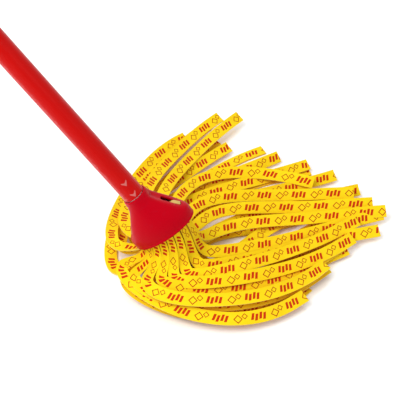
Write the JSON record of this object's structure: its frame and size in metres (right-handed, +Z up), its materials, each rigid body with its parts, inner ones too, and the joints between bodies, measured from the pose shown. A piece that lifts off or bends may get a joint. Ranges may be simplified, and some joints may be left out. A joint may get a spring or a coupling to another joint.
{
  "type": "string mop",
  "caption": "String mop with a leaning tube handle, a moulded bell head and a push-in refill of flat printed strips fanned out on the floor.",
  "frame": {"origin": "on the floor under the middle of the fan of strips, on the underside of a strip that lies flat", "axes": "+Z up; the handle leans towards -X in a plane parallel to XZ, and the strips spread towards +X and +Y"},
  "size_m": [0.9868, 0.3541, 1.0793],
  "materials": {
    "bell_plastic": "satin moulded polypropylene, red",
    "handle_coat": "glossy red plastic coat on steel tube",
    "plug_plastic": "black moulded plug",
    "carrier_plastic": "cream moulded plastic",
    "strip_fabric": "yellow non-woven cloth with a red printed pattern on its upper side"
  },
  "bodies": {
    "head": {"bell": "bell_plastic", "carrier": "carrier_plastic", "strip_upper_1": "strip_fabric", "strip_upper_2": "strip_fabric", "strip_upper_3": "strip_fabric", "strip_upper_4": "strip_fabric", "strip_upper_5": "strip_fabric", "strip_upper_6": "strip_fabric", "strip_upper_7": "strip_fabric", "strip_upper_8": "strip_fabric", "strip_upper_9": "strip_fabric", "strip_upper_10": "strip_fabric", "strip_upper_11": "strip_fabric", "strip_upper_12": "strip_fabric", "strip_upper_13": "strip_fabric", "strip_upper_14": "strip_fabric", "strip_upper_15": "strip_fabric", "strip_upper_16": "strip_fabric", "strip_middle_1": "strip_fabric", "strip_middle_2": "strip_fabric", "strip_middle_3": "strip_fabric", "strip_middle_4": "strip_fabric", "strip_middle_5": "strip_fabric", "strip_middle_6": "strip_fabric", "strip_middle_7": "strip_fabric", "strip_middle_8": "strip_fabric", "strip_middle_9": "strip_fabric", "strip_middle_10": "strip_fabric", "strip_lower_1": "strip_fabric", "strip_lower_2": "strip_fabric", "strip_lower_3": "strip_fabric", "strip_lower_4": "strip_fabric", "strip_lower_5": "strip_fabric", "strip_lower_6": "strip_fabric", "strip_lower_7": "strip_fabric", "strip_lower_8": "strip_fabric", "strip_lower_9": "strip_fabric"},
    "handle": {"handle_tube": "handle_coat", "handle_ferrule": "plug_plastic", "end_cap": "bell_plastic"},
    "lug_r": {"lug_right": "carrier_plastic"},
    "lug_l": {"lug_left": "carrier_plastic"}
  },
  "joints": [
    {"name": "handle_pull", "type": "slide", "parent": "head", "child": "handle", "axis": [-0.5878, 0, 0.809], "range_m": [0, 0.03]},
    {"name": "lug_right_press", "type": "slide", "parent": "head", "child": "lug_r", "axis": [-0.7602, -0.342, -0.5523], "range_m": [0, 0.0025], "stiffness_N_per_m": 2000},
    {"name": "lug_left_press", "type": "slide", "parent": "head", "child": "lug_l", "axis": [0.7602, 0.342, 0.5523], "range_m": [0, 0.0025], "stiffness_N_per_m": 2000}
  ]
}
